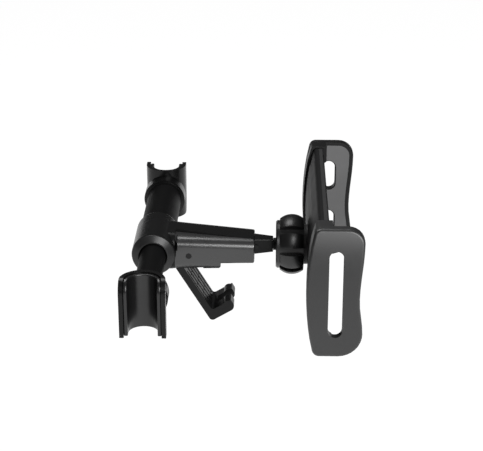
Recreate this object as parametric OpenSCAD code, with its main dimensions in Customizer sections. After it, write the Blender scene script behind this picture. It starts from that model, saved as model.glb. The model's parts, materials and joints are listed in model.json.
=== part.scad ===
// Headrest tablet mount: a telescopic crossbar between two headrest posts, a hub with a
// telescopic arm and a bag hook, a ball joint with a lobed lock nut, and a sprung tablet holder.
// X runs along the arm towards the tablet, Y along the crossbar, Z up. Millimetres.
// The origin is the axis of the far headrest post, halfway up its clamp.

/* [Crossbar] */
// Distance between the two headrest posts as the bar is set
post_spacing = 175; // [168:0.5:190]
// Distance from the far post to the middle of the hub
hub_offset = 87.5; // [84:0.5:92]
// Outer diameter of the fixed tube
tube_d = 21; // [20:0.5:22]
// Outer diameter of the sliding rod
rod_d = 14.8; // [13:0.1:16]
// Wall of the sliding rod
rod_wall = 2; // [1.5:0.1:2.5]
// Length of rod that is inside the tube
rod_hidden = 36; // [32:1:38]

/* [Post clamps] */
// Inner radius of the rubber pad, which grips the post
post_r = 7.9; // [6:0.1:9]
// Thickness of the rubber pad
pad_t = 2.2; // [1.5:0.1:3]
// Thickness of the clamp shell
shell_t = 2.4; // [2:0.1:3.5]
// Height of a clamp
clamp_h = 32.3; // [26:0.5:40]
// Reach of the clamp's lips past the post's axis
lip = 4.5; // [3:0.1:6]
// Radius of the rounded corner at the end of each lip
lip_corner_r = 8; // [4:0.5:9]
// How far the pad stops short of the shell's edges
pad_setback = 0.7; // [0.5:0.1:1.6]
// Diameter of the round collar behind a clamp
collar_d = 25.4; // [25:0.2:28]
// Length of the round collar behind a clamp
collar_l = 7.5; // [6:0.5:9]

/* [Hub and arm] */
// Outer radius of the hub
hub_r = 12.5; // [12.2:0.1:14]
// Reach of the hub towards the near clamp
hub_near = 18.5; // [16:0.5:22]
// Reach of the hub towards the far clamp
hub_far = 17.5; // [16:0.5:20]
// Length of the bevelled end ring
ring_l = 3.2; // [2:0.1:4]
// Distance from the crossbar's axis to the end of the arm housing
arm_l = 58; // [54:0.5:64]
// Half width of the arm at the hub
arm_half_w0 = 14.8; // [14:0.1:16]
// Half width of the arm at its end
arm_half_w1 = 12.3; // [11:0.1:13]
// Top of the arm above the crossbar's axis, at the hub
arm_top0 = 10.6; // [9.5:0.1:11.5]
// Top of the arm above the crossbar's axis, at its end
arm_top1 = 5.9; // [5.8:0.1:7]
// Bottom of the arm below the crossbar's axis
arm_bottom = 8; // [7.5:0.1:9]
// Radius of the arm's upper edges
arm_edge_r = 7.5; // [5:0.1:8]
// Radius of the fairing's lower edges
fairing_edge_r = 4.6; // [2:0.1:4.8]
// Depth of the fairing round the hook below the crossbar's axis
fairing_drop = 12.2; // [11:0.1:13]
// Distance from the crossbar's axis to the end of the fairing
fairing_l = 38.5; // [34:0.5:42]

/* [Sliding stem and ball] */
// Width and height of the sliding stem
stem_w = 9.6; // [8:0.1:10]
// Gap between the crossbar's tube and the end of the stem inside the arm
stem_back_gap = 5.5; // [4:0.5:9]
// Radius of the ball
ball_r = 8.5; // [8:0.1:8.7]
// Distance from the end of the arm housing to the middle of the ball
ball_reach = 20.5; // [19:0.5:24]
// Radius of the ball's neck
neck_r = 3.6; // [3:0.1:3.7]

/* [Lock nut] */
// Radius of the nut's flange and of the floors between its lobes
nut_r = 14; // [13.6:0.1:15]
// Radius of the nut over its lobes
lobe_r = 17.6; // [16.5:0.1:19]
// Length of the nut's flange
nut_flange_l = 2.5; // [1.5:0.1:3]
// Length of the nut's lobes
lobe_l = 13.7; // [12:0.1:14]
// Height of the lobes' ends above the floors between the lobes
lobe_end_h = 1.1; // [0.5:0.1:2]
// Angle that a lobe covers
lobe_angle = 30; // [20:1:34]
// Number of lobes
lobe_count = 8; // [6:1:9]
// Angle of the first lobe, from the near side upwards
lobe_phase = 31.6; // [0:0.1:45]

/* [Tablet holder] */
// Gap between the two jaws, closed
jaw_gap = 134; // [120:1:150]
// Thickness of a jaw
jaw_t = 5.5; // [5:0.1:7]
// Height of a jaw
jaw_h = 76; // [70:0.5:80]
// Height of the jaws' middle above the crossbar's axis
holder_z = 1.4; // [0:0.1:2]
// Distance from the middle of the ball to the back of the jaws
jaw_back_reach = 8.4; // [8.3:0.1:10]
// Bow of the jaws' back edge
back_bow = 4.2; // [3:0.1:6]
// Distance from the middle of the ball to the waist of the jaws' front edge
waist_reach = 37.5; // [34:0.1:39]
// Distance from the middle of the ball to the bulges of the jaws' front edge
bulge_reach = 39.5; // [38:0.1:43]
// Distance from the middle of the ball to the holder's front face
front_reach = 20.8; // [20.4:0.1:22]
// Clearance of the holder inside the jaws' hoods
hood_gap = 0.35; // [0.3:0.05:0.6]
// Wall of the jaws' hoods
hood_t = 1.3; // [1:0.1:2]
// Reach of a jaw's hood over the end of the holder
hood_l = 8; // [4:0.5:10]
// Width of the jaws' slots
slot_w = 7.8; // [6:0.1:10]
// Travel of each jaw
jaw_travel = 35; // [20:1:36]

/* [Jaw drive] */
// Module of the pinion and the racks
gear_m = 1; // [0.9:0.05:1]
// Number of teeth of the pinion
pinion_teeth = 14; // [12:2:14]
// Backlash of the racks on the pinion
backlash = 0.3; // [0.2:0.05:0.5]
// Thickness of the racks
rack_t = 2.4; // [2:0.1:2.6]

/* [Bag hook] */
// Angle of the hook's leg below the arm
hook_angle = 59; // [50:1:65]
// Length of the hook's leg from its pivot to its outer corner
hook_leg = 41.8; // [36:0.1:46]
// Thickness of the hook's leg
hook_t = 4.2; // [3.6:0.1:4.4]
// Half width of the hook
hook_half_w = 12; // [10:0.1:12.2]
// Length of the hook's prongs from the back of the leg
prong_l = 17.1; // [14:0.1:20]
// Thickness of the hook's prongs
prong_t = 6; // [4.5:0.1:7]
// Width of the gap between the prongs
prong_gap = 8; // [6:0.5:12]
// Distance between two grip holes along the leg
hole_pitch_along = 6.8; // [5:0.1:8]
// Distance between two grip holes across the leg
hole_pitch_across = 4.8; // [4:0.1:5]
// Radius of the grip holes
hole_r = 0.65; // [0.4:0.05:0.9]
// Radius of the hook's pivot pin
hook_pin_r = 1.25; // [1:0.05:1.4]

/* [Hidden] */
$fn = 64;

// Clearances
run_gap = 0.05;
slide_gap = 0.1;
seat_gap = 0.05;
part_gap = 0.3;
cut = 1;

// Crossbar, measured from the clamp's channel axis or from the hub's middle
shell_r = post_r + pad_t + shell_t;
pad_r = post_r + pad_t;
bar_start = shell_r + 0.7;
collar_lap = 1.5;
collar_step = 1;
tube_bore_r = rod_d / 2 + run_gap;
tube_wide_r = tube_bore_r + 0.75;
tube_near_y = -hub_near + 0.3;
rod_bore_r = rod_d / 2 - rod_wall;
rod_end_y = tube_near_y + rod_hidden;
plug_l = 16;
guide_t = 3;
guide_spigot_l = 8;
screw_r = 1.5;
screw_head_r = 3.2;
screw_head_t = 1.2;
screw_l = 13;
spring_wire_r = 0.6;
spring_r = tube_wide_r - spring_wire_r - 0.4;
spring_coils = 9;
stop_ring_t = 1.2;
stop_ring_h = 0.9;

// Arm
arm_z = -0.5;
arm_low_edge_r = 1.5;
facet_lean = 28;
facet_end_x = arm_l * 0.8;
cover_x0 = 12;
seam_y0 = -3.4;
seam_y1 = -8.4;
seam_step = 1.9;
notch_h = 8;
notch_l = 1.6;
notch_y = seam_y0 - 4;
notch_top = arm_top0 - 2;
stem_z = arm_z;
stem_edge_r = 1;
ball_x = arm_l + ball_reach;
stem_hidden = arm_l - tube_d / 2 - stem_back_gap;
stem_neck_x = ball_x - ball_r - 0.4;
stem_core_r = neck_r * 0.7;
stem_core_l = 8;
stem_tip_w = 6.2;
stem_tip_h = 8.2;
stem_tip_x = stem_neck_x - 0.8;
guide_screw_x = arm_l + 0.6;
guide_screw_r = 1.7;
guide_screw_h = 0.7;
guide_shank_r = 0.8;
cover_screw_x = 20;
cover_screw_z = -2.8;
cover_screw_r = 1.7;
cover_shank_r = 0.8;
cover_shank_y = -6;
cover_screw_sink = 1.9;

// Hook
hook_pivot_x = 13.3;
hook_pivot_z = -8.4;
hook_barrel_r = 2.4;
hook_back = hook_barrel_r;
hook_front = hook_t - hook_back;
hook_pin_y = arm_half_w0 - 1.9;
hook_room_l = 15;
hook_side_gap = 0.3;
hook_corner_r = 2.2;
prong_tip_r = 3.4;
hole_rows = 4;
hole_columns = 4;
hole_start = 12;
hole_depth = 1.2;
rib_count = 5;
rib_w = 0.9;
rib_h = 0.3;
rib_start = 8;
prong_floor = 3;
prong_fillet_r = 1.5;

// Ball joint
liner_t = 1.05;
liner_r = ball_r + run_gap + liner_t;
socket_r = 11.6;
socket_flange_r = 16;
socket_flange_t = 1.4;
nut_x0 = ball_x - 8.1;
nut_chamfer = 0.8;
nut_mouth_r = 9.7;
nut_throat_r = 8.05;
cup_edge_angle = 48;
ring_front_angle = 48;
ring_back_angle = 100;

// Holder
jaw_back_x = ball_x + jaw_back_reach;
waist_x = ball_x + waist_reach;
bulge_x = ball_x + bulge_reach;
front_x = ball_x + front_reach;
jaw_inner_y = jaw_gap / 2;
jaw_half_h = jaw_h / 2;
holder_inset = hood_t + hood_gap;
holder_back_x = jaw_back_x + holder_inset;
holder_half_l = jaw_inner_y - 0.4;
back_wall = 2;
front_wall = 2;
pad_front_t = 1;
cavity_x0 = holder_back_x + back_wall;
cavity_x1 = front_x - pad_front_t - front_wall;
cavity_half_h = jaw_half_h - 15.8;
cavity_half_l = holder_half_l - 4;
bow_r = (jaw_half_h * jaw_half_h + back_bow * back_bow) / (2 * back_bow);
jaw_edge_r = 1.6;
jaw_inner_edge_r = 0.6;
jaw_pad_t = 1;
jaw_pad_inset = 2.4;
slot_x = front_x + slot_w / 2 - 0.3;
slot_top = jaw_half_h - 12.9;
slot_bottom = 11.9 - jaw_half_h;
far_bridge_top = 6.7;
far_bridge_bottom = -7.7;
waist_z = -4.2;
upper_bulge_z = jaw_half_h - 9.2;
lower_bulge_z = 13.3 - jaw_half_h;

// Drive
pitch_r = gear_m * pinion_teeth / 2;
addendum = 0.8 * gear_m;
dedendum = 1.05 * gear_m;
pressure_angle = 20;
tooth_pitch = PI * gear_m;
rack_x0 = cavity_x1 - 0.5 - rack_t;
rack_h = 6.5;
rack_tail_y = jaw_travel + 5;
axle_r = 2.5;
jaw_spring_r = 1.5;
jaw_spring_wire_r = 0.45;
jaw_spring_coils = 12;
jaw_spring_z = pitch_r + rack_h + 4.6;
post_half_h = jaw_spring_r + 1;
tab_t = 2;
tab_y = -6;
spring_x = rack_x0 + 0.6;
spring_post_y = jaw_travel + 7;
case_screw_x = jaw_back_x + 8;
case_screw_head_t = 1.4;
case_screw_head_r = 2.6;
case_shank_r = 1.2;

// Helpers

function arc(cx, cy, r, from, to, steps) =
    [for (k = [0 : steps]) let (a = from + (to - from) * k / steps) [cx + r * cos(a), cy + r * sin(a)]];

function inset_outline(points, d) =
    let (n = len(points))
    [for (i = [0 : n - 1])
        let (
            before = points[(i + n - 1) % n],
            after = points[(i + 1) % n],
            along = (after - before) / norm(after - before)
        )
        points[i] + d * [-along[1], along[0]]];

function rounded_section(half_w, top, bottom, top_r, bottom_r) = concat(
    arc(half_w - bottom_r, bottom + bottom_r, bottom_r, -90, 0, 3),
    arc(half_w - top_r, top - top_r, top_r, 0, 90, 7),
    arc(top_r - half_w, top - top_r, top_r, 90, 180, 7),
    arc(bottom_r - half_w, bottom + bottom_r, bottom_r, 180, 270, 3)
);

// Skins a row of rings that all have the same number of points
module loft(rings) {
    n = len(rings[0]);
    last = (len(rings) - 1) * n;
    sides = [for (k = [0 : len(rings) - 2]) for (i = [0 : n - 1])
        [k * n + i, (k + 1) * n + i, (k + 1) * n + (i + 1) % n, k * n + (i + 1) % n]];
    start_cap = [for (i = [0 : n - 1]) i];
    end_cap = [for (i = [n - 1 : -1 : 0]) last + i];
    polyhedron([for (r = rings) each r], concat([start_cap], sides, [end_cap]));
}

module at_hub() {
    translate([0, -hub_offset, 0]) children();
}

// A cylinder along Y from y0 to y1
module rod_y(r, y0, y1) {
    translate([0, y0, 0]) rotate([-90, 0, 0]) cylinder(r = r, h = y1 - y0);
}

// A cylinder along X from x0 to x1
module rod_x(r, x0, x1) {
    translate([x0, 0, 0]) rotate([0, 90, 0]) cylinder(r = r, h = x1 - x0);
}

// A flat outline drawn in X and Z, with thickness along Y from y0 to y1
module plate_xz(y0, y1) {
    translate([0, y1, 0]) rotate([90, 0, 0]) linear_extrude(y1 - y0) children();
}

module stadium(width, low, high) {
    r = width / 2;
    translate([-r, low + r]) square([width, high - low - width]);
    translate([0, low + r]) circle(r);
    translate([0, high - r]) circle(r);
}

// A helical wire along Z
module helix(r, wire_r, length, coils) {
    linear_extrude(length, twist = -360 * coils, slices = coils * 12, $fn = 6)
        translate([r, 0]) circle(wire_r);
}

// Post clamp: channel along Z, open towards +Y, closed towards the bar at -Y

module channel_section(r, reach) {
    circle(r);
    translate([-r, 0]) square([2 * r, reach]);
}

// Side view of a clamp in Y and Z, with its lower front corner rounded
module clamp_side(back, front, half_h, corner_r) {
    translate([-back, corner_r - half_h]) square([back + front, 2 * half_h - corner_r]);
    translate([-back, -half_h]) square([back + front - corner_r, corner_r + cut]);
    translate([front - corner_r, corner_r - half_h]) circle(corner_r);
}

module clamp_body(r_out, r_in, reach, half_h, corner_r) {
    intersection() {
        translate([0, 0, -half_h]) linear_extrude(2 * half_h) difference() {
            channel_section(r_out, reach);
            channel_section(r_in, reach + cut);
        }
        rotate([90, 0, 90]) linear_extrude(2 * r_out + 2 * cut, center = true)
            clamp_side(r_out + cut, reach, half_h, corner_r);
    }
}

module clamp_shell() {
    difference() {
        clamp_body(shell_r, pad_r, lip, clamp_h / 2, lip_corner_r);
        rod_y(screw_r + seat_gap, -shell_r - cut, 0);
        rod_y(screw_head_r + seat_gap, -pad_r - screw_head_t, 0);
    }
}

module clamp_pad() {
    clamp_body(pad_r - seat_gap, post_r, lip - pad_setback, clamp_h / 2 - pad_setback,
        lip_corner_r - pad_setback);
}

module clamp_collar(bore_r) {
    difference() {
        union() {
            rod_y(collar_d / 2, -bar_start - collar_l + collar_step, -shell_r + collar_lap);
            rod_y(collar_d / 2 - collar_step, -bar_start - collar_l, -bar_start);
        }
        translate([0, 0, -collar_d]) cylinder(r = shell_r + seat_gap, h = 2 * collar_d);
        rod_y(bore_r + seat_gap, -bar_start - collar_l - cut, -bar_start);
        rod_y(screw_r + seat_gap, -bar_start - cut, 0);
    }
}

module clamp_screw() {
    rod_y(screw_head_r, -pad_r - screw_head_t + seat_gap, -pad_r - seat_gap);
    rod_y(screw_r, -bar_start - screw_l, -pad_r - 1);
}

module end_plug(r) {
    difference() {
        rod_y(r, -bar_start - plug_l, -bar_start - seat_gap);
        rod_y(screw_r + seat_gap, -bar_start - screw_l - 0.5, 0);
    }
}

module place_near_clamp() {
    translate([0, -post_spacing, 0]) rotate([180, 0, 0]) children();
}

// Fixed half of the crossbar

module outer_tube() {
    color([0.07, 0.07, 0.075]) difference() {
        rod_y(tube_d / 2, tube_near_y - hub_offset, -bar_start - seat_gap);
        rod_y(tube_bore_r, tube_near_y - hub_offset - cut, 0);
        rod_y(tube_wide_r, rod_end_y - hub_offset - part_gap, 0);
    }
}

module stop_ring() {
    color([0.55, 0.56, 0.58]) at_hub() difference() {
        rod_y(tube_d / 2 + stop_ring_h, hub_far - stop_ring_t, hub_far - 0.2);
        rod_y(tube_d / 2 + seat_gap / 5, hub_far - 2, hub_far + cut);
    }
}

module far_end_plug() {
    color([0.1, 0.1, 0.1]) end_plug(tube_wide_r - seat_gap);
}

module far_collar() {
    color([0.13, 0.13, 0.14]) clamp_collar(tube_d / 2);
}

module far_clamp_shell() {
    color([0.13, 0.13, 0.14]) clamp_shell();
}

module far_clamp_pad() {
    color([0.17, 0.17, 0.17]) clamp_pad();
}

module far_clamp_screw() {
    color([0.6, 0.6, 0.62]) clamp_screw();
}

module bar_spring() {
    start_y = rod_end_y - hub_offset + guide_t + 0.3 + spring_wire_r;
    end_y = -bar_start - plug_l - 0.3 - spring_wire_r;
    color([0.6, 0.6, 0.62]) translate([0, start_y, 0]) rotate([-90, 0, 0])
        helix(spring_r, spring_wire_r, end_y - start_y, spring_coils);
}

// Sliding half of the crossbar

module inner_rod() {
    color([0.07, 0.07, 0.075]) difference() {
        rod_y(rod_d / 2, -post_spacing + bar_start + seat_gap, rod_end_y - hub_offset);
        rod_y(rod_bore_r, -post_spacing, 0);
    }
}

module rod_guide() {
    color([0.8, 0.8, 0.78]) translate([0, rod_end_y - hub_offset, 0]) {
        rod_y(tube_wide_r - run_gap, seat_gap, guide_t);
        rod_y(rod_bore_r - seat_gap, -guide_spigot_l, 2 * seat_gap);
    }
}

module near_end_plug() {
    color([0.1, 0.1, 0.1]) place_near_clamp() end_plug(rod_bore_r - seat_gap);
}

module near_collar() {
    color([0.13, 0.13, 0.14]) place_near_clamp() clamp_collar(rod_d / 2);
}

module near_clamp_shell() {
    color([0.13, 0.13, 0.14]) place_near_clamp() clamp_shell();
}

module near_clamp_pad() {
    color([0.17, 0.17, 0.17]) place_near_clamp() clamp_pad();
}

module near_clamp_screw() {
    color([0.6, 0.6, 0.62]) place_near_clamp() clamp_screw();
}

// Arm

function arm_ring(x, step, bottom, low_r, inset) =
    let (
        t = x / arm_l,
        half_w = arm_half_w0 + (arm_half_w1 - arm_half_w0) * t - inset,
        top = arm_top0 + (arm_top1 - arm_top0) * t - step * (1 - t) - inset
    )
    [for (p = rounded_section(half_w, top, inset - bottom, arm_edge_r - step - inset, low_r))
        [x, p[0], p[1]]];

module arm_form(step, bottom, low_r) {
    loft([
        arm_ring(0, step, bottom, low_r, 0),
        arm_ring(arm_l - 0.9, step, bottom, low_r, 0),
        arm_ring(arm_l - 0.25, step, bottom, low_r, 0.25),
        arm_ring(arm_l, step, bottom, low_r, 0.9)
    ]);
}

// Side view of the fairing round the hook
module fairing_side() {
    r = 3;
    difference() {
        union() {
            translate([0, -fairing_drop]) square([fairing_l - r, fairing_drop - arm_bottom + 3]);
            translate([0, r - fairing_drop]) square([fairing_l, fairing_drop - arm_bottom + 3 - r]);
            translate([fairing_l - r, r - fairing_drop]) circle(r);
        }
        circle(hub_r - 1);
    }
}

module arm_block(step) {
    arm_form(step, arm_bottom, arm_low_edge_r);
    intersection() {
        arm_form(step, fairing_drop, fairing_edge_r);
        plate_xz(-arm_half_w0, arm_half_w0) fairing_side();
    }
}

// Plan of the near side cover, grown by gap
module cover_plan(gap) {
    polygon([
        [cover_x0 - gap, -arm_half_w0 - cut],
        [arm_l + cut, -arm_half_w0 - cut],
        [arm_l + cut, seam_y1 + gap],
        [cover_x0 - gap, seam_y0 + gap]
    ]);
}

module cover_zone(gap) {
    translate([0, 0, -fairing_drop - cut]) linear_extrude(fairing_drop + arm_top0 + 2 * cut) cover_plan(gap);
}

module stem_channel(gap) {
    w = stem_w + 2 * gap;
    translate([arm_l - stem_hidden - part_gap, -w / 2, stem_z - w / 2])
        cube([stem_hidden + cut + part_gap, w, w]);
    screw_way = guide_screw_r + gap;
    translate([guide_screw_x - 2, -w / 2 - guide_screw_h, stem_z - screw_way])
        cube([4, guide_screw_h + cut, 2 * screw_way]);
}

// Room for the hook's barrel and for the top of its leg
module hook_pocket() {
    half_w = hook_half_w + hook_side_gap;
    r = hook_barrel_r + part_gap;
    low = -fairing_drop - 2;
    plate_xz(-half_w, half_w) {
        translate([hook_pivot_x, hook_pivot_z]) circle(r);
        translate([hook_pivot_x - r, low]) square([2 * r, hook_pivot_z - low]);
        translate([hook_pivot_x, low]) square([hook_room_l, hook_pivot_z + 1.5 - low]);
    }
}

module hook_pin_hole() {
    translate([hook_pivot_x, 0, hook_pivot_z])
        rod_y(hook_pin_r + run_gap, -hook_pin_y - 2 * slide_gap, hook_pin_y + 2 * slide_gap);
}

module arm_cuts() {
    rod_y(tube_d / 2 + run_gap, -hub_near - cut, hub_far + cut);
    rod_y(tube_d / 2 + stop_ring_h + 0.2, hub_far - stop_ring_t - 0.3, hub_far + cut);
    stem_channel(slide_gap);
    hook_pocket();
    hook_pin_hole();
}

module cover_screw_hole() {
    translate([cover_screw_x, 0, cover_screw_z]) {
        rod_y(cover_screw_r + seat_gap, -arm_half_w0 - cut, cover_screw_sink - arm_half_w0);
        rod_y(cover_shank_r + seat_gap, -arm_half_w0, cover_shank_y + 0.2);
    }
}

// Hub with the rounded far end
module hub_body() {
    r = 2.5;
    rotate([-90, 0, 0]) translate([0, 0, -hub_near]) {
        cylinder(r = hub_r, h = hub_near + hub_far - r);
        rotate_extrude() {
            translate([0, hub_near]) square([hub_r - r, hub_far]);
            translate([hub_r - r, hub_near + hub_far - r]) circle(r);
            translate([0, hub_near]) square([hub_r, hub_far - r]);
        }
    }
}

module arm_housing() {
    color([0.12, 0.12, 0.125]) at_hub() difference() {
        union() {
            hub_body();
            difference() {
                arm_block(0);
                cover_zone(seat_gap);
            }
        }
        arm_cuts();
        cover_screw_hole();
        light_facet();
    }
}

// Slanted face along the seam on top of the arm, wide at the hub and gone towards the end
function seam_y(x) = seam_y0 + (seam_y1 - seam_y0) * (x - cover_x0) / (arm_l - cover_x0);

function facet_ring(x, depth) =
    let (top = arm_top0 + (arm_top1 - arm_top0) * x / arm_l, y = seam_y(x), rise = 1)
    [
        [x, y - cut, top - depth],
        [x, y, top - depth],
        [x, y + (depth + rise) * tan(facet_lean), top + rise],
        [x, y - cut, top + rise]
    ];

module light_facet() {
    start_x = cover_x0 - seat_gap;
    loft([facet_ring(start_x, seam_step * (1 - start_x / arm_l)), facet_ring(facet_end_x, 0)]);
}

module side_cover() {
    color([0.2, 0.2, 0.205]) at_hub() difference() {
        intersection() {
            arm_block(seam_step);
            cover_zone(0);
        }
        rod_y(hub_r + part_gap, -hub_near - cut, hub_far);
        arm_cuts();
        cover_screw_hole();
        translate([cover_x0 - cut, -arm_half_w0 - cut, notch_top - notch_h])
            cube([cut + notch_l, arm_half_w0 + cut + notch_y, notch_h]);
    }
}

module hub_ring() {
    color([0.24, 0.24, 0.245]) at_hub() rotate([90, 0, 0]) translate([0, 0, hub_near + seat_gap])
        rotate_extrude() polygon([
            [rod_d / 2 + 0.6, 0], [hub_r - 0.1, 0], [hub_r - 0.1, 0.8],
            [rod_d / 2 + 1.4, ring_l], [rod_d / 2 + 0.6, ring_l]
        ]);
}

module cover_screw() {
    color([0.05, 0.05, 0.05]) at_hub() translate([cover_screw_x, 0, cover_screw_z]) {
        rod_y(cover_screw_r, cover_screw_sink - 1 - arm_half_w0, cover_screw_sink - seat_gap - arm_half_w0);
        rod_y(cover_shank_r, cover_screw_sink - 0.1 - arm_half_w0, cover_shank_y);
    }
}

module hook_pin() {
    color([0.6, 0.6, 0.62]) at_hub() translate([hook_pivot_x, 0, hook_pivot_z])
        rod_y(hook_pin_r, -hook_pin_y, hook_pin_y);
}

// Hook, drawn with its leg along +X and its prongs up, then turned down about its pivot

module hook_side() {
    r = hook_corner_r;
    tip = prong_l - hook_back;
    prong_x = hook_leg - prong_t;
    circle(hook_barrel_r);
    translate([0, -hook_back]) square([hook_leg - r, hook_t]);
    translate([prong_x, r - hook_back]) square([prong_t, prong_l - r - prong_tip_r]);
    translate([prong_x, 0]) square([prong_t - prong_tip_r, tip]);
    translate([hook_leg - r, r - hook_back]) circle(r);
    translate([hook_leg - prong_tip_r, tip - prong_tip_r]) circle(prong_tip_r);
    difference() {
        translate([prong_x - prong_fillet_r, hook_front]) square(prong_fillet_r);
        translate([prong_x - prong_fillet_r, hook_front + prong_fillet_r]) circle(prong_fillet_r);
    }
}

module bag_hook() {
    rib_l = hook_leg - prong_t - prong_fillet_r - rib_start;
    color([0.12, 0.12, 0.125]) at_hub() translate([hook_pivot_x, 0, hook_pivot_z])
        rotate([0, hook_angle, 0]) difference() {
            union() {
                plate_xz(-hook_half_w, hook_half_w) hook_side();
                for (k = [0 : rib_count - 1])
                    translate([rib_start, (k - (rib_count - 1) / 2) * hole_pitch_across - rib_w / 2, 0])
                        cube([rib_l, rib_w, hook_front + rib_h]);
            }
            rod_y(hook_pin_r + run_gap, -hook_half_w - cut, hook_half_w + cut);
            translate([hook_leg - prong_t - cut, -prong_gap / 2, hook_front + prong_floor])
                cube([prong_t + 2 * cut, prong_gap, prong_l]);
            for (i = [0 : hole_rows - 1]) for (k = [0 : hole_columns - 1])
                translate([
                    hole_start + i * hole_pitch_along,
                    (k - (hole_columns - 1) / 2) * hole_pitch_across,
                    hook_front - hole_depth
                ])
                    cylinder(r = hole_r, h = hole_depth + cut, $fn = 24);
        }
}

// Sliding stem with its ball

function stem_ring(x, w, h) =
    [for (p = rounded_section(w / 2, h / 2, -h / 2, stem_edge_r, stem_edge_r)) [x, p[0], p[1] + stem_z]];

module sliding_stem() {
    color([0.12, 0.12, 0.125]) at_hub() difference() {
        union() {
            translate([arm_l - stem_hidden, -stem_w / 2, stem_z - stem_w / 2])
                cube([stem_hidden, stem_w, stem_w]);
            loft([stem_ring(arm_l, stem_w, stem_w), stem_ring(stem_tip_x, stem_tip_w, stem_tip_h)]);
        }
        translate([0, 0, stem_z])
            rod_x(stem_core_r + seat_gap, stem_neck_x - stem_core_l - 0.5, stem_neck_x + cut);
        translate([guide_screw_x, 0, stem_z]) rod_y(guide_shank_r + seat_gap, -stem_w / 2 - cut, 0);
    }
}

module ball_stud() {
    color([0.16, 0.16, 0.165]) at_hub() translate([0, 0, stem_z]) {
        translate([ball_x, 0, 0]) sphere(ball_r);
        rod_x(neck_r, stem_tip_x + seat_gap, ball_x);
        rod_x(stem_core_r, stem_neck_x - stem_core_l, ball_x);
    }
}

module guide_screw() {
    color([0.3, 0.3, 0.3]) at_hub() translate([guide_screw_x, 0, stem_z]) {
        rod_y(guide_screw_r - 0.2, -stem_w / 2 - guide_screw_h + 0.1, -stem_w / 2 - seat_gap);
        rod_y(guide_shank_r, -stem_w / 2 - 0.3, -0.5);
    }
}

// Hollow sphere between the ball and the socket
module ball_liner() {
    difference() {
        sphere(liner_r);
        sphere(ball_r + run_gap);
    }
}

module at_ball() {
    at_hub() translate([ball_x, 0, stem_z]) children();
}

// A cone from the ball's centre along X, at an angle from the axis
module cone_x(angle, reach) {
    rotate([0, reach > 0 ? 90 : -90, 0]) cylinder(r1 = 0, r2 = abs(reach) * tan(angle), h = abs(reach));
}

module ball_cup() {
    color([0.15, 0.15, 0.15]) at_ball() intersection() {
        ball_liner();
        cone_x(cup_edge_angle, 2 * ball_r);
    }
}

module ball_ring() {
    back_x = -cos(ring_back_angle) * liner_r;
    color([0.75, 0.75, 0.72]) at_ball() difference() {
        intersection() {
            ball_liner();
            rod_x(2 * ball_r, -2 * ball_r, back_x);
        }
        cone_x(ring_front_angle, -2 * ball_r);
    }
}

// Lock nut

module nut_lobe() {
    sag = lobe_r - nut_r - lobe_end_h;
    r = (lobe_l * lobe_l / 4 + sag * sag) / (2 * sag);
    rotate_extrude(angle = lobe_angle) intersection() {
        translate([lobe_r - r, lobe_l / 2]) circle(r);
        translate([socket_r + 1, -0.2]) square([lobe_r, lobe_l + 0.1]);
    }
}

module lock_nut() {
    mouth_slope = (nut_mouth_r - nut_throat_r) / nut_flange_l;
    color([0.1, 0.1, 0.1]) at_hub() translate([nut_x0, 0, stem_z]) rotate([0, 90, 0])
        difference() {
            union() {
                rotate_extrude() polygon([
                    [0, 0], [nut_r - nut_chamfer, 0], [nut_r, nut_chamfer], [nut_r, nut_flange_l + lobe_l],
                    [0, nut_flange_l + lobe_l]
                ]);
                for (k = [0 : lobe_count - 1])
                    rotate([0, 0, lobe_phase + 90 * 3 - lobe_angle / 2 + k * 360 / lobe_count])
                        translate([0, 0, nut_flange_l]) nut_lobe();
            }
            translate([0, 0, -cut])
                cylinder(r1 = nut_mouth_r + cut * mouth_slope, r2 = nut_throat_r, h = nut_flange_l + cut);
            translate([0, 0, nut_flange_l - 0.1])
                cylinder(r1 = nut_throat_r, r2 = socket_r + run_gap, h = 1.2);
            translate([0, 0, nut_flange_l + 1]) cylinder(r = socket_r + run_gap, h = lobe_l + cut);
        }
}

// Tablet holder

function front_edge(z) =
    let (reach = z > waist_z ? upper_bulge_z - waist_z : waist_z - lower_bulge_z)
    waist_x + (bulge_x - waist_x) * (1 - cos(180 * abs(z - waist_z) / reach)) / 2;

// Outline of a jaw in X and Z, counter-clockwise, from its lower back corner
function jaw_outline() =
    let (
        top_r = jaw_half_h - upper_bulge_z,
        bottom_r = jaw_half_h + lower_bulge_z,
        corner_r = 4,
        back_x = jaw_back_x + back_bow
    )
    concat(
        arc(bulge_x - bottom_r, bottom_r - jaw_half_h, bottom_r, -90, -8, 7),
        [for (k = [0 : 10]) let (z = lower_bulge_z + (upper_bulge_z - lower_bulge_z) * k / 10)
            [front_edge(z), z]],
        arc(bulge_x - top_r, jaw_half_h - top_r, top_r, 8, 90, 6),
        arc(back_x + corner_r - 0.6, jaw_half_h - corner_r, corner_r, 90, 168, 5),
        [for (k = [1 : 9]) let (z = (jaw_half_h - corner_r) * (1 - k / 5))
            [jaw_back_x + z * z / (2 * bow_r), z]],
        arc(back_x + corner_r - 0.6, corner_r - jaw_half_h, corner_r, 192, 270, 5)
    );

// Outline of the holder at an inset from the jaws' outline, open-ended at the front
function holder_outline(inset) =
    let (half_h = jaw_half_h - inset, back_x = jaw_back_x + back_bow + inset, r = 2.5)
    concat(
        [[bulge_x, -half_h], [bulge_x, half_h]],
        arc(back_x + r, half_h - r, r, 90, 165, 4),
        [for (k = [1 : 9]) let (z = (half_h - r) * (1 - k / 5))
            [jaw_back_x + inset + z * z / (2 * bow_r), z]],
        arc(back_x + r, r - half_h, r, 195, 270, 4)
    );

// Section of the holder in X and Z, from its bowed back to x = front
module holder_section(inset, front) {
    intersection() {
        polygon(holder_outline(inset));
        translate([0, -jaw_h]) square([front, 2 * jaw_h]);
    }
}

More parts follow.
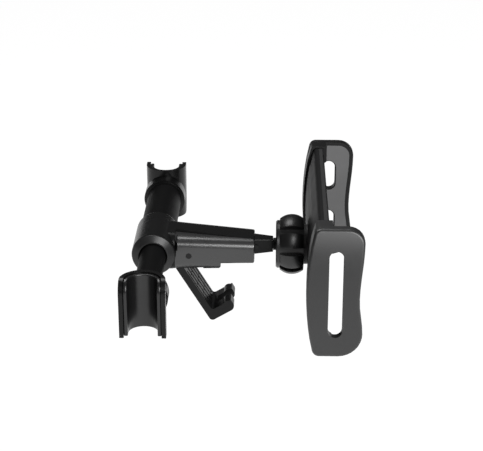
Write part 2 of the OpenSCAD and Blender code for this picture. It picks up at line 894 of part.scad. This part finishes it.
// A plate of the jaw's outline with a rounded outer edge, its inner face at y = 0, growing towards -Y
module jaw_plate() {
    outline = jaw_outline();
    outer = [for (a = [0, 30, 60, 90]) [-jaw_t + jaw_edge_r * (1 - sin(a)), jaw_edge_r * (1 - cos(a))]];
    inner = [[0, jaw_inner_edge_r], [-jaw_inner_edge_r, 0]];
    loft([for (s = concat(inner, outer)) [for (p = inset_outline(outline, s[1])) [p[0], s[0], p[1]]]]);
}

// A jaw on the near side, its inner face at y = 0, before the slots
module jaw_blank(rack_sign) {
    lug_z = rack_sign * (pitch_r + dedendum + rack_h / 2);
    difference() {
        union() {
            jaw_plate();
            plate_xz(-cut, hood_l) difference() {
                holder_section(0.2, front_x + 1.5);
                holder_section(hood_t, front_x + 3);
            }
        }
        plate_xz(-jaw_pad_t, cut) intersection() {
            polygon(inset_outline(jaw_outline(), jaw_pad_inset));
            translate([front_x + 2, -jaw_h]) square([bulge_x, 2 * jaw_h]);
        }
        translate([rack_x0 - seat_gap, -1.5, lug_z - rack_h / 2 - seat_gap])
            cube([rack_t + 2 * seat_gap, cut + 1.5, rack_h + 2 * seat_gap]);
    }
}

module near_slots(gap) {
    plate_xz(-jaw_t - cut, cut) translate([slot_x, 0])
        stadium(slot_w + 2 * gap, slot_bottom - gap, slot_top + gap);
}

module far_slots(gap) {
    plate_xz(-jaw_t - cut, cut) translate([slot_x, 0]) {
        stadium(slot_w + 2 * gap, far_bridge_top - gap, slot_top + gap);
        stadium(slot_w + 2 * gap, slot_bottom - gap, far_bridge_bottom + gap);
    }
}

module jaw_pad_blank() {
    plate_xz(seat_gap - jaw_pad_t, 0) intersection() {
        polygon(inset_outline(jaw_outline(), jaw_pad_inset + seat_gap));
        translate([front_x + 2 + seat_gap, -jaw_h]) square([bulge_x, 2 * jaw_h]);
    }
}

module place_near_jaw() {
    at_hub() translate([0, -jaw_inner_y, holder_z]) children();
}

module place_far_jaw() {
    at_hub() translate([0, jaw_inner_y, holder_z]) mirror([0, 1, 0]) children();
}

module near_jaw() {
    color([0.2, 0.2, 0.205]) place_near_jaw() difference() {
        jaw_blank(1);
        near_slots(0);
    }
}

module far_jaw() {
    color([0.2, 0.2, 0.205]) place_far_jaw() difference() {
        jaw_blank(-1);
        far_slots(0);
    }
}

module near_jaw_pad() {
    color([0.4, 0.4, 0.4]) place_near_jaw() difference() {
        jaw_pad_blank();
        near_slots(0.6);
    }
}

module far_jaw_pad() {
    color([0.4, 0.4, 0.4]) place_far_jaw() difference() {
        jaw_pad_blank();
        far_slots(0.6);
    }
}

// Rack: teeth along the lower edge, with a gap between two teeth at y = 0
module rack_section(start, end, tooth_end) {
    slope = tan(pressure_angle);
    tip = tooth_pitch / 4 - addendum * slope - backlash / 2;
    root = tooth_pitch / 4 + dedendum * slope - backlash / 2;
    first = ceil((start + root) / tooth_pitch - 0.5);
    last = floor((tooth_end - root) / tooth_pitch - 0.5);
    translate([start, pitch_r + dedendum]) square([end - start, rack_h]);
    for (k = [first : last]) translate([(k + 0.5) * tooth_pitch, pitch_r])
        polygon([[-tip, -addendum], [tip, -addendum], [root, dedendum + 0.1], [-root, dedendum + 0.1]]);
}

module rack_body(start, end) {
    translate([rack_x0, 0, holder_z]) rotate([90, 0, 90]) linear_extrude(rack_t)
        rack_section(start, end, end);
}

module near_rack() {
    tab_z = jaw_spring_z + post_half_h + 0.5;
    color([0.7, 0.7, 0.68]) at_hub() {
        rack_body(-jaw_inner_y - 1.4, rack_tail_y);
        translate([rack_x0, tab_y, holder_z + pitch_r + dedendum + rack_h - 1])
            cube([rack_t, tab_t, tab_z - pitch_r - dedendum - rack_h + 1]);
    }
}

module far_rack() {
    color([0.7, 0.7, 0.68]) at_hub() translate([0, 0, 2 * holder_z]) rotate([180, 0, 0])
        rack_body(-jaw_inner_y - 1.4, rack_tail_y);
}

// Pinion with involute teeth, one of them upright
function involute(base_r, t) =
    let (a = t * 180 / PI) base_r * [cos(a) + t * sin(a), sin(a) - t * cos(a)];

module pinion_section() {
    base_r = pitch_r * cos(pressure_angle);
    tip_r = pitch_r + addendum;
    root_r = pitch_r - dedendum;
    half = 90 / pinion_teeth + (tan(pressure_angle) * 180 / PI - pressure_angle);
    t_tip = sqrt(tip_r * tip_r / (base_r * base_r) - 1);
    steps = 5;
    flank = [for (k = [0 : steps]) involute(base_r, t_tip * k / steps)];
    circle(root_r);
    for (k = [0 : pinion_teeth - 1]) rotate(90 + k * 360 / pinion_teeth) {
        right = [for (p = flank) [p[0] * cos(half) + p[1] * sin(half), p[1] * cos(half) - p[0] * sin(half)]];
        left = [for (i = [steps : -1 : 0]) [right[i][0], -right[i][1]]];
        polygon(concat([[root_r - 0.5, right[0][1]]], right, left, [[root_r - 0.5, -right[0][1]]]));
    }
}

module pinion() {
    color([0.8, 0.8, 0.78]) at_hub() translate([rack_x0, 0, holder_z]) rotate([90, 0, 90])
        linear_extrude(rack_t) difference() {
            pinion_section();
            circle(axle_r + run_gap);
        }
}

module jaw_spring() {
    start_y = tab_y + tab_t + part_gap;
    end_y = spring_post_y - part_gap;
    color([0.6, 0.6, 0.62]) at_hub() translate([spring_x, start_y, holder_z + jaw_spring_z])
        rotate([-90, 0, 0]) helix(jaw_spring_r, jaw_spring_wire_r, end_y - start_y, jaw_spring_coils);
}

module holder_ends() {
    rotate([90, 0, 0]) linear_extrude(2 * holder_half_l, center = true) children();
}

module holder_screw_places() {
    for (y = [-1, 1]) for (z = [-1, 1])
        translate([0, y * (holder_half_l - 12), z * (jaw_half_h - 9)]) children();
}

module holder_back() {
    split_x = cavity_x1 - seat_gap;
    rail_low = pitch_r - addendum - 0.3;
    rail_high = pitch_r + dedendum + rack_h + 0.3;
    color([0.14, 0.14, 0.145]) at_hub() difference() {
        translate([0, 0, holder_z]) difference() {
            holder_ends() holder_section(holder_inset, split_x);
            translate([cavity_x0, -cavity_half_l, -cavity_half_h])
                cube([front_x - cavity_x0, 2 * cavity_half_l, 2 * cavity_half_h]);
            for (side = [-1, 1])
                translate([rack_x0 - 0.3, side * (holder_half_l - 1) - 4, side < 0 ? rail_low : -rail_high])
                    cube([front_x - rack_x0, 8, rail_high - rail_low]);
            holder_screw_places() rod_x(case_shank_r + seat_gap, jaw_back_x - cut, split_x + cut);
            holder_screw_places() rod_x(case_screw_head_r + seat_gap, jaw_back_x - 2 * cut, case_screw_x);
        }
        translate([0, 0, stem_z]) rod_x(socket_r + seat_gap, holder_back_x - cut, cavity_x0 + cut);
    }
}

module socket() {
    slit_w = 1.4;
    slit_l = 9;
    front = nut_x0 + nut_flange_l + 1.7 - ball_x;
    flange_x = cavity_x0 + seat_gap - ball_x;
    color([0.16, 0.16, 0.165]) at_ball() difference() {
        rotate([0, 90, 0]) rotate_extrude() difference() {
            union() {
                translate([0, front]) square([socket_r, flange_x + socket_flange_t - front]);
                translate([0, flange_x]) square([socket_flange_r, socket_flange_t]);
            }
            circle(liner_r + run_gap);
        }
        for (a = [0, 90]) rotate([a, 0, 0]) translate([front - cut, -slit_w / 2, -socket_r - cut])
            cube([slit_l + cut, slit_w, 2 * socket_r + 2 * cut]);
    }
}

module holder_front() {
    color([0.14, 0.14, 0.145]) at_hub() translate([0, 0, holder_z]) {
        difference() {
            holder_ends() intersection() {
                holder_section(holder_inset, front_x - pad_front_t);
                translate([cavity_x1, -jaw_h]) square([bulge_x - cavity_x1, 2 * jaw_h]);
            }
            holder_screw_places() rod_x(case_shank_r + seat_gap, jaw_back_x, cavity_x1 + 1.4);
        }
        rod_x(axle_r, rack_x0 - 0.6, cavity_x1 + 1);
        translate([rack_x0 - 0.2, spring_post_y, jaw_spring_z - post_half_h])
            cube([cavity_x1 + 1 - rack_x0, tab_t, 2 * post_half_h]);
    }
}

module front_pad() {
    margin = 3;
    half_l = holder_half_l - hood_l - margin;
    half_h = jaw_half_h - holder_inset - margin;
    color([0.1, 0.1, 0.1]) at_hub() translate([front_x - pad_front_t, -half_l, holder_z - half_h])
        cube([pad_front_t, 2 * half_l, 2 * half_h]);
}

module holder_screws() {
    color([0.5, 0.5, 0.52]) at_hub() translate([0, 0, holder_z]) holder_screw_places() {
        rod_x(case_shank_r, case_screw_x - 1, cavity_x1 + 1);
        rod_x(case_screw_head_r, case_screw_x - case_screw_head_t, case_screw_x - seat_gap);
    }
}

outer_tube();
stop_ring();
far_end_plug();
far_collar();
far_clamp_shell();
far_clamp_pad();
far_clamp_screw();
bar_spring();
inner_rod();
rod_guide();
near_end_plug();
near_collar();
near_clamp_shell();
near_clamp_pad();
near_clamp_screw();
arm_housing();
side_cover();
hub_ring();
cover_screw();
hook_pin();
bag_hook();
sliding_stem();
ball_stud();
guide_screw();
ball_cup();
ball_ring();
lock_nut();
socket();
holder_back();
holder_front();
front_pad();
holder_screws();
jaw_spring();
pinion();
near_jaw();
near_jaw_pad();
near_rack();
far_jaw();
far_jaw_pad();
far_rack();
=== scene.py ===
import json
import math

import bmesh
import bpy
from mathutils import Matrix, Vector


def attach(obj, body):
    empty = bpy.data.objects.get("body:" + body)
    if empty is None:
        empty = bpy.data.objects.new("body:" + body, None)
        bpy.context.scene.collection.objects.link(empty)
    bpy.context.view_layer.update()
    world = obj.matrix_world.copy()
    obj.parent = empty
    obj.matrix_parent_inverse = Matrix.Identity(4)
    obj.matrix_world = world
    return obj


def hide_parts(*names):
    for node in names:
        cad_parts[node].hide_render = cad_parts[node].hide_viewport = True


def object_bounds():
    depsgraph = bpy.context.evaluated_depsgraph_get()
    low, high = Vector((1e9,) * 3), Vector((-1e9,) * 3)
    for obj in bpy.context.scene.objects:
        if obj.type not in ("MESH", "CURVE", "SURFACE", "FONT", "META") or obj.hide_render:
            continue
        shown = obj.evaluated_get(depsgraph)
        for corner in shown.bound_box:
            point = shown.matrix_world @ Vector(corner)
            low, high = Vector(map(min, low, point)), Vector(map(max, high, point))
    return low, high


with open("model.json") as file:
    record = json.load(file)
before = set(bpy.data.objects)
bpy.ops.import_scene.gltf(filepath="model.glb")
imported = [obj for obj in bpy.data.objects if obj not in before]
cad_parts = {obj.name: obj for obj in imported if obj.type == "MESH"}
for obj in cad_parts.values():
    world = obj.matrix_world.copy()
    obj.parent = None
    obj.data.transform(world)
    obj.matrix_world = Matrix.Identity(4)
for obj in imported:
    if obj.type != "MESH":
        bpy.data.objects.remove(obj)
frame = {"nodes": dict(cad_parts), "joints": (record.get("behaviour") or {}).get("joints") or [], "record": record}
CAD_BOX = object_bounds()
NODES = frame["nodes"]
MM = 0.001

# Camera, at the photograph's place and with its frame
CAMERA_PLACE = Vector((0.0694, -0.8511, 0.3306))
CAMERA_PITCH = math.radians(22.711)
CAMERA_TURN = math.radians(-1.435)
CAMERA_NEAR = 0.05
CAMERA_FAR = 20
FOCAL_PIXELS = 1419.68
PHOTO_WIDTH = 483
SENSOR_WIDTH = 36

# Turn of the lock nut about its axis in the photograph
NUT_TURN = math.radians(-16)

# Stage, a floor below the part with a low wall round it
FLOOR_DROP = 0.30
FLOOR_RADIUS = 3.0
FLOOR_HUB = 0.02
WALL_HEIGHT = 0.4
WALL_FILLET = 0.3
STAGE_SIDES = 96
FILLET_STEPS = 8
FLOOR_GLOW = 0.96
FLOOR_GREY = 0.16

# Lights
AIM = Vector((0.05, -0.09, 0.0))
LAMP_DISTANCE = 1.5
KEY_WIDE = 0.9
KEY_HIGH = 0.7
KEY_WATTS = 25.0
KEY_SIDE = math.radians(27)
KEY_HEIGHT = math.radians(33)
BACK_SIZE = 0.6
BACK_WATTS = 7.0
BACK_SIDE = math.radians(205)
BACK_HEIGHT = math.radians(62)
SKY = 0.08

# Skin of moulded plastic: the size of the patches that its colour and gloss vary in, in millimetres,
# and how far its roughness varies
PATCH = 9
GLOSS_SPREAD = 0.06

# Rounded edges: the least angle that counts as an edge, the faces across one, how near points are
# welded, in millimetres, and the bend that still counts as flat
EDGE_ANGLE = math.radians(32)
EDGE_FACES = 3
WELD = 0.002
FLAT_ANGLE = math.radians(0.6)


def camera():
    """Looks along the crossbar from in front and above, as the photograph does."""
    data = bpy.data.cameras.new("camera")
    data.sensor_width = SENSOR_WIDTH
    data.lens = FOCAL_PIXELS * SENSOR_WIDTH / PHOTO_WIDTH
    data.clip_start = CAMERA_NEAR
    data.clip_end = CAMERA_FAR
    view = Vector((
        math.sin(CAMERA_TURN) * math.cos(CAMERA_PITCH),
        math.cos(CAMERA_TURN) * math.cos(CAMERA_PITCH),
        -math.sin(CAMERA_PITCH),
    ))
    right = Vector((math.cos(CAMERA_TURN), -math.sin(CAMERA_TURN), 0))
    up = right.cross(view)
    obj = bpy.data.objects.new("camera", data)
    obj.matrix_world = Matrix.Translation(CAMERA_PLACE) @ Matrix((right, up, -view)).transposed().to_4x4()
    bpy.context.scene.collection.objects.link(obj)
    bpy.context.scene.camera = obj


def area_light(name, side, height, wide, high, watts):
    """A soft oblong lamp that faces the part. side is its turn from the front towards +X, and height
    its angle above the part."""
    data = bpy.data.lights.new(name, "AREA")
    data.shape = "RECTANGLE"
    data.size = wide
    data.size_y = high
    data.energy = watts
    away = Vector((
        math.sin(side) * math.cos(height),
        -math.cos(side) * math.cos(height),
        math.sin(height),
    ))
    obj = bpy.data.objects.new(name, data)
    obj.location = AIM + away * LAMP_DISTANCE
    obj.rotation_euler = away.to_track_quat("Z", "Y").to_euler()
    bpy.context.scene.collection.objects.link(obj)


def sky():
    """A dim, even white light from all sides."""
    world = bpy.data.worlds.new("sky")
    world.use_nodes = True
    background = world.node_tree.nodes["Background"]
    background.inputs["Color"].default_value = (1, 1, 1, 1)
    background.inputs["Strength"].default_value = SKY
    bpy.context.scene.world = world


def seen_share(tree):
    """1 for camera, glossy and transmission rays, and 0 for the rays that light the part."""
    path = tree.nodes.new("ShaderNodeLightPath")
    either = tree.nodes.new("ShaderNodeMath")
    either.operation = "MAXIMUM"
    tree.links.new(path.outputs["Is Camera Ray"], either.inputs[0])
    tree.links.new(path.outputs["Is Glossy Ray"], either.inputs[1])
    every = tree.nodes.new("ShaderNodeMath")
    every.operation = "MAXIMUM"
    tree.links.new(either.outputs[0], every.inputs[0])
    tree.links.new(path.outputs["Is Transmission Ray"], every.inputs[1])
    return every.outputs[0]


def stage_material():
    """Near white where it is seen or reflected, and a plain grey under the lights."""
    material = bpy.data.materials.new("pale_stage")
    material.use_nodes = True
    tree = material.node_tree
    tree.nodes.clear()
    glow = tree.nodes.new("ShaderNodeEmission")
    glow.inputs["Color"].default_value = (1, 1, 1, 1)
    level = tree.nodes.new("ShaderNodeMath")
    level.operation = "MULTIPLY"
    level.inputs[1].default_value = FLOOR_GLOW
    tree.links.new(seen_share(tree), level.inputs[0])
    tree.links.new(level.outputs[0], glow.inputs["Strength"])
    matte = tree.nodes.new("ShaderNodeBsdfDiffuse")
    matte.inputs["Color"].default_value = (FLOOR_GREY, FLOOR_GREY, FLOOR_GREY, 1)
    both = tree.nodes.new("ShaderNodeAddShader")
    tree.links.new(glow.outputs[0], both.inputs[0])
    tree.links.new(matte.outputs[0], both.inputs[1])
    out = tree.nodes.new("ShaderNodeOutputMaterial")
    tree.links.new(both.outputs[0], out.inputs["Surface"])
    return material


def stage():
    """A round floor whose rim curves up into a low wall."""
    low = CAD_BOX[0][2] - FLOOR_DROP
    bend = FLOOR_RADIUS - WALL_FILLET
    profile = [(FLOOR_HUB, low), (bend, low)]
    for k in range(1, FILLET_STEPS + 1):
        a = math.pi / 2 * k / FILLET_STEPS
        profile.append((bend + WALL_FILLET * math.sin(a), low + WALL_FILLET * (1 - math.cos(a))))
    profile.append((FLOOR_RADIUS, low + WALL_HEIGHT))
    turns = [2 * math.pi * k / STAGE_SIDES for k in range(STAGE_SIDES)]
    mesh = bmesh.new()
    rings = []
    for r, z in profile:
        rings.append([mesh.verts.new((AIM.x + r * math.cos(a), AIM.y + r * math.sin(a), z)) for a in turns])
    for inner, outer in zip(rings, rings[1:]):
        for k in range(STAGE_SIDES):
            n = (k + 1) % STAGE_SIDES
            mesh.faces.new((inner[k], outer[k], outer[n], inner[n]))
    mesh.faces.new(rings[0])
    for face in mesh.faces:
        face.smooth = True
    data = bpy.data.meshes.new("floor")
    mesh.to_mesh(data)
    mesh.free()
    obj = bpy.data.objects.new("floor", data)
    data.materials.append(stage_material())
    bpy.context.scene.collection.objects.link(obj)


def plastic(name, colour, roughness, specular=0.3, mottle=0.12, grain=0.35, depth=0.003, crown=0):
    """Moulded plastic. mottle is the share that its colour varies by, grain the size of its skin's
    texture and depth that texture's height, in millimetres. crown is for add_crown."""
    material = bpy.data.materials.new(name)
    material.use_nodes = True
    tree = material.node_tree
    shader = tree.nodes["Principled BSDF"]
    shader.inputs["Specular IOR Level"].default_value = specular
    place = tree.nodes.new("ShaderNodeTexCoord")

    cloud = tree.nodes.new("ShaderNodeTexNoise")
    cloud.inputs["Scale"].default_value = 1 / (PATCH * MM)
    cloud.inputs["Detail"].default_value = 4
    tree.links.new(place.outputs["Object"], cloud.inputs["Vector"])

    tint = tree.nodes.new("ShaderNodeMix")
    tint.data_type = "RGBA"
    dark = [c * (1 - mottle) for c in colour]
    light = [c * (1 + mottle) for c in colour]
    tint.inputs["A"].default_value = (*dark, 1)
    tint.inputs["B"].default_value = (*light, 1)
    tree.links.new(cloud.outputs["Fac"], tint.inputs["Factor"])
    tree.links.new(tint.outputs["Result"], shader.inputs["Base Color"])

    skin = tree.nodes.new("ShaderNodeTexNoise")
    skin.inputs["Scale"].default_value = 1 / (grain * MM)
    skin.inputs["Detail"].default_value = 2
    tree.links.new(place.outputs["Object"], skin.inputs["Vector"])

    shine = tree.nodes.new("ShaderNodeMapRange")
    shine.inputs["To Min"].default_value = roughness - GLOSS_SPREAD
    shine.inputs["To Max"].default_value = roughness + GLOSS_SPREAD
    tree.links.new(cloud.outputs["Fac"], shine.inputs["Value"])
    tree.links.new(shine.outputs["Result"], shader.inputs["Roughness"])

    bump = tree.nodes.new("ShaderNodeBump")
    bump.inputs["Distance"].default_value = depth * MM
    tree.links.new(skin.outputs["Fac"], bump.inputs["Height"])
    tree.links.new(bump.outputs["Normal"], shader.inputs["Normal"])
    if crown:
        add_crown(tree, place, bump, crown)
    return material


def add_crown(tree, place, bump, crown):
    """Shades an upright face as if it bowed out. crown is how much its slope changes over a metre of
    height, and the face is upright at the height of the frame's origin."""
    axes = tree.nodes.new("ShaderNodeSeparateXYZ")
    tree.links.new(place.outputs["Object"], axes.inputs[0])
    square = tree.nodes.new("ShaderNodeMath")
    square.operation = "MULTIPLY"
    tree.links.new(axes.outputs["Z"], square.inputs[0])
    tree.links.new(axes.outputs["Z"], square.inputs[1])
    height = tree.nodes.new("ShaderNodeMath")
    height.operation = "MULTIPLY"
    height.inputs[1].default_value = -crown / 2
    tree.links.new(square.outputs[0], height.inputs[0])
    bow = tree.nodes.new("ShaderNodeBump")
    bow.inputs["Distance"].default_value = 1
    tree.links.new(height.outputs[0], bow.inputs["Height"])
    tree.links.new(bow.outputs["Normal"], bump.inputs["Normal"])


def metal(name, colour, roughness):
    """Bare or blackened steel, with a finer and deeper grain than the plastic's."""
    material = plastic(name, colour, roughness, specular=0.5, mottle=0.08, grain=0.2, depth=0.004)
    material.node_tree.nodes["Principled BSDF"].inputs["Metallic"].default_value = 1
    return material


FINISHES = {
    "bar": plastic("bar", (0.006, 0.006, 0.0062), 0.5, specular=0.05),
    "clamp": plastic("clamp", (0.005, 0.005, 0.0051), 0.27, specular=0.26),
    "grip": plastic("grip", (0.006, 0.006, 0.0062), 0.3, specular=0.6, grain=0.6, depth=0.004),
    "arm": plastic("arm", (0.007, 0.007, 0.0072), 0.28, specular=0.17),
    # The arm's plastic made lighter and glossier: painted light on the hub ring
    "ring_painted_lit": plastic("ring_painted_lit", (0.016, 0.016, 0.0163), 0.36, specular=0.36),
    "cover": plastic("cover", (0.028, 0.028, 0.0285), 0.29, specular=0.8, crown=32),
    "hook": plastic("hook", (0.007, 0.007, 0.0072), 0.32, specular=0.22),
    "nut": plastic("nut", (0.007, 0.007, 0.0072), 0.36, specular=0.6),
    "holder": plastic("holder", (0.02, 0.02, 0.0205), 0.5, specular=0.04),
    # The holder's plastic at twice its colour and glossier: painted light on the holder's front and the racks
    "holder_painted_lit": plastic("holder_painted_lit", (0.04, 0.04, 0.0405), 0.5, specular=0.2),
    "jaw": plastic("jaw", (0.013, 0.013, 0.0133), 0.42, specular=0.75, crown=11),
    # The jaw's plastic made darker and less glossy: painted shade on the far jaw
    "jaw_painted_shade": plastic("jaw_painted_shade", (0.006, 0.006, 0.0062), 0.4, specular=0.3, crown=5),
    "jaw_pad": plastic(
        "jaw_pad", (0.14, 0.14, 0.141), 0.5, specular=0.4, grain=0.8, depth=0.006, crown=5
    ),
    "inner_plastic": plastic("inner_plastic", (0.05, 0.05, 0.05), 0.5),
    "nylon": plastic("nylon", (0.6, 0.6, 0.57), 0.45),
    "ball": plastic("ball", (0.01, 0.01, 0.0102), 0.45, specular=0.1),
    "steel": metal("steel", (0.55, 0.55, 0.57), 0.3),
    "dark_screw": metal("dark_screw", (0.03, 0.03, 0.03), 0.4),
}

# Nodes whose finish isn't their slot's: lighter copies of a plastic that paint light on the holder's front, the
# racks and the hub ring, and a darker copy that paints shade on the far jaw
OWN_FINISH = {
    "holder_front": "holder_painted_lit",
    "near_rack": "holder_painted_lit",
    "far_rack": "holder_painted_lit",
    "far_jaw": "jaw_painted_shade",
    "hub_ring": "ring_painted_lit",
}


def dress_frame():
    """Gives every carried-over node the finish of its slot, or the painted-light or painted-shade copy of a
    plastic that OWN_FINISH names.
    """
    for part in frame["record"]["subparts"]:
        node = NODES[part["node"]]
        node.data.materials.clear()
        finish = OWN_FINISH.get(part["node"], part["material_slot"])
        node.data.materials.append(FINISHES[finish])


def soften(piece, width):
    """Rounds a piece's sharp edges to a width in millimetres, and shades it smooth."""
    for polygon in piece.data.polygons:
        polygon.use_smooth = True
    weld = piece.modifiers.new("weld", "WELD")
    weld.merge_threshold = WELD * MM
    flat = piece.modifiers.new("flat", "DECIMATE")
    flat.decimate_type = "DISSOLVE"
    flat.angle_limit = FLAT_ANGLE
    bevel = piece.modifiers.new("bevel", "BEVEL")
    bevel.width = width * MM
    bevel.segments = EDGE_FACES
    bevel.limit_method = "ANGLE"
    bevel.angle_limit = EDGE_ANGLE
    shade = piece.modifiers.new("shade", "WEIGHTED_NORMAL")
    shade.keep_sharp = True


def turned_nut():
    """The lock nut as the photograph shows it, turned back a little on its own joint."""
    joint = next(joint for joint in frame["joints"] if joint["name"] == "nut_turn")
    centre = Vector(joint["pos_m"])
    axis = Vector(joint["axis"])
    turn = Matrix.Translation(centre) @ Matrix.Rotation(NUT_TURN, 4, axis) @ Matrix.Translation(-centre)
    data = NODES["lock_nut"].data.copy()
    data.transform(turn)
    nut = bpy.data.objects.new("turned_nut", data)
    bpy.context.scene.collection.objects.link(nut)
    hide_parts("lock_nut")
    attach(nut, "nut")
    return nut


# Width of the rounded edges of each moulded node, in millimetres
SOFTENED = {
    "far_clamp_shell": 0.8,
    "near_clamp_shell": 0.8,
    "far_clamp_pad": 0.6,
    "near_clamp_pad": 0.6,
    "far_collar": 0.5,
    "near_collar": 0.5,
    "hub_ring": 0.4,
    "arm_housing": 0.35,
    "bag_hook": 0.3,
    "side_cover": 0.35,
    "sliding_stem": 0.3,
    "holder_back": 1.2,
    "holder_front": 0.3,
    "near_jaw": 0.8,
    "far_jaw": 0.8,
    "near_jaw_pad": 0.25,
    "far_jaw_pad": 0.25,
}
NUT_EDGE = 0.4

camera()
sky()
area_light("key", KEY_SIDE, KEY_HEIGHT, KEY_WIDE, KEY_HIGH, KEY_WATTS)
area_light("back", BACK_SIDE, BACK_HEIGHT, BACK_SIZE, BACK_SIZE, BACK_WATTS)
stage()
dress_frame()
for name, width in SOFTENED.items():
    soften(NODES[name], width)
soften(turned_nut(), NUT_EDGE)

bpy.context.scene.view_settings.view_transform = "Standard"
